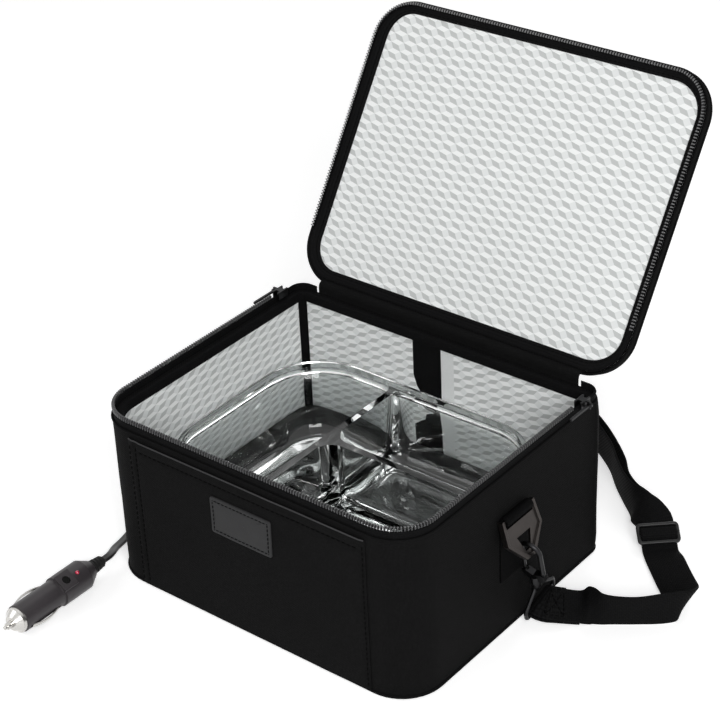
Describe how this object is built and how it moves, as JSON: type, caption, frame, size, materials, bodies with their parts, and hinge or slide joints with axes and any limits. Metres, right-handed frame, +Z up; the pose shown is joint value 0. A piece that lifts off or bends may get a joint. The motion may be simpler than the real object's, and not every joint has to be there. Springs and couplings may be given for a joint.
{
  "type": "electric lunch box",
  "caption": "Soft-sided heated lunch bag with an open zip lid, a pale lining, a heating plate, a divided glass dish, a clip-on shoulder strap and a car plug on a cord.",
  "frame": {"origin": "middle of the bag's base, on the ground", "axes": "+Z up, front of the bag towards -Y, right side towards +X, lid hinged along the back"},
  "size_m": [0.4474, 0.486, 0.3302],
  "materials": {
    "bag_fabric": "woven synthetic, near black",
    "webbing": "woven webbing and tape, black",
    "lining": "pale quilted-pattern lining film",
    "foam": "closed-cell foam",
    "board": "stiff base board",
    "patch": "stitched patch, bare",
    "zip_plastic": "moulded teeth",
    "dark_metal": "black plated",
    "gate_metal": "bright",
    "ring_metal": "taupe-grey plated, satin",
    "strap_plastic": "moulded",
    "plate_plastic": "satin black",
    "plate_top": "black coated",
    "element": "foil track",
    "insulation": "fibre mat",
    "clamp": "bare sheet",
    "thermostat": "moulded",
    "steel": "bright plated",
    "cord_rubber": "soft black jacket",
    "glass": "clear",
    "fuse_glass": "clear",
    "plug_plastic": "dark grey, satin",
    "switch_plastic": "black",
    "led": "clear red"
  },
  "bodies": {
    "bag": {"outer_shell": "bag_fabric", "base_board": "board", "wall_foam": "foam", "liner": "lining", "rim_binding": "webbing", "liner_seam_tape": "webbing", "cord_port_strip": "webbing", "cord_port_gland": "cord_rubber", "front_pocket": "bag_fabric", "label_patch": "patch", "zip_tape_lower": "webbing", "zip_teeth_lower": "zip_plastic", "lid_hinge_band": "bag_fabric", "zip_slider_right": "dark_metal", "zip_slider_left": "dark_metal", "anchor_right": "webbing", "anchor_left": "webbing", "swivel_eye_right": "dark_metal", "swivel_eye_left": "dark_metal", "strap_webbing": "webbing", "strap_slider": "strap_plastic", "cord_run_a": "cord_rubber", "cord_coil": "cord_rubber", "cord_run_b": "cord_rubber", "cord_tie": "webbing", "plug_body": "plug_plastic", "plug_nose_ring": "steel", "plug_led": "led", "plug_strain_relief": "cord_rubber"},
    "lid": {"lid_cover": "bag_fabric", "lid_foam": "foam", "lid_liner": "lining", "lid_binding": "webbing", "lid_hinge_flap": "bag_fabric", "zip_tape_upper": "webbing", "zip_teeth_upper": "zip_plastic"},
    "zip_pull_right": {"zip_pull_right": "dark_metal"},
    "zip_pull_left": {"zip_pull_left": "dark_metal"},
    "ring_right": {"ring_right": "ring_metal"},
    "ring_left": {"ring_left": "ring_metal"},
    "hook_right": {"hook_right": "dark_metal"},
    "hook_left": {"hook_left": "dark_metal"},
    "hook_gate_right": {"hook_gate_right": "gate_metal"},
    "hook_gate_left": {"hook_gate_left": "gate_metal"},
    "heating_plate": {"heater_base": "plate_plastic", "heater_top": "plate_top", "heating_element": "element", "element_insulation": "insulation", "heater_clamp_plate": "clamp", "thermostat": "thermostat", "thermal_fuse": "steel", "heater_screws": "steel", "heater_gland": "cord_rubber", "heater_lead": "cord_rubber"},
    "dish": {"glass_dish": "glass"},
    "plug_pin": {"plug_pin": "steel", "plug_fuse": "fuse_glass"},
    "plug_contact_right": {"plug_contact_right": "steel"},
    "plug_contact_left": {"plug_contact_left": "steel"},
    "plug_switch": {"plug_switch": "switch_plastic"}
  },
  "joints": [
    {"name": "lid_hinge", "type": "hinge", "parent": "bag", "child": "lid", "pos_m": [0, 0.1144, 0.1402], "axis": [-1, 0, 0], "range_deg": [-123.6, 56.4]},
    {"name": "zip_pull_right_swing", "type": "hinge", "parent": "bag", "child": "zip_pull_right", "pos_m": [0.1434, 0.0885, 0.13675], "axis": [0, 0, 1], "range_deg": [0, 150]},
    {"name": "zip_pull_left_swing", "type": "hinge", "parent": "bag", "child": "zip_pull_left", "pos_m": [-0.1434, 0.0885, 0.13675], "axis": [0, 0, -1], "range_deg": [0, 150]},
    {"name": "ring_right_swing", "type": "hinge", "parent": "bag", "child": "ring_right", "pos_m": [0.1435, 0, 0.097], "axis": [0, -1, 0], "range_deg": [-2.5, 2.5]},
    {"name": "ring_left_swing", "type": "hinge", "parent": "bag", "child": "ring_left", "pos_m": [-0.1435, 0, 0.097], "axis": [0, 1, 0], "range_deg": [-2.5, 2.5]},
    {"name": "hook_right_swivel", "type": "hinge", "parent": "bag", "child": "hook_right", "pos_m": [0.14969, 0.01468, 0.03354], "axis": [0.0872, -0.3194, 0.9436], "range_deg": [-12, 12]},
    {"name": "hook_left_swivel", "type": "hinge", "parent": "bag", "child": "hook_left", "pos_m": [-0.14969, 0.01468, 0.03354], "axis": [-0.0872, -0.3194, 0.9436], "range_deg": [-12, 12]},
    {"name": "gate_right_open", "type": "hinge", "parent": "hook_right", "child": "hook_gate_right", "pos_m": [0.14319, 0.01128, 0.04358], "axis": [0, 0.9472, 0.3206], "range_deg": [0, 20], "stiffness_Nm_per_rad": 0.02, "springref_deg": -5.73},
    {"name": "gate_left_open", "type": "hinge", "parent": "hook_left", "child": "hook_gate_left", "pos_m": [-0.14319, 0.01128, 0.04358], "axis": [0, -0.9472, -0.3206], "range_deg": [0, 20], "stiffness_Nm_per_rad": 0.02, "springref_deg": -5.73},
    {"name": "plate_lift", "type": "slide", "parent": "bag", "child": "heating_plate", "axis": [0, 0, 1], "range_m": [0, 0.2], "deforming": ["heater_lead"]},
    {"name": "dish_lift", "type": "slide", "parent": "heating_plate", "child": "dish", "axis": [0, 0, 1], "range_m": [0, 0.12]},
    {"name": "plug_pin_press", "type": "slide", "parent": "bag", "child": "plug_pin", "axis": [0, 1, 0], "range_m": [0, 0.003], "stiffness_N_per_m": 400, "springref_m": -0.002},
    {"name": "contact_right_press", "type": "hinge", "parent": "bag", "child": "plug_contact_right", "pos_m": [-0.12893, -0.1786, 0.00665], "axis": [-0.5, 0, -0.866], "range_deg": [0, 4], "stiffness_Nm_per_rad": 0.5, "springref_deg": -2.86},
    {"name": "contact_left_press", "type": "hinge", "parent": "bag", "child": "plug_contact_left", "pos_m": [-0.14607, -0.1786, 0.01655], "axis": [0.5, 0, 0.866], "range_deg": [0, 4], "stiffness_Nm_per_rad": 0.5, "springref_deg": -2.86},
    {"name": "plug_switch_press", "type": "slide", "parent": "bag", "child": "plug_switch", "axis": [-0.5, 0, -0.866], "range_m": [0, 0.0012], "stiffness_N_per_m": 800, "springref_m": -0.0005}
  ]
}
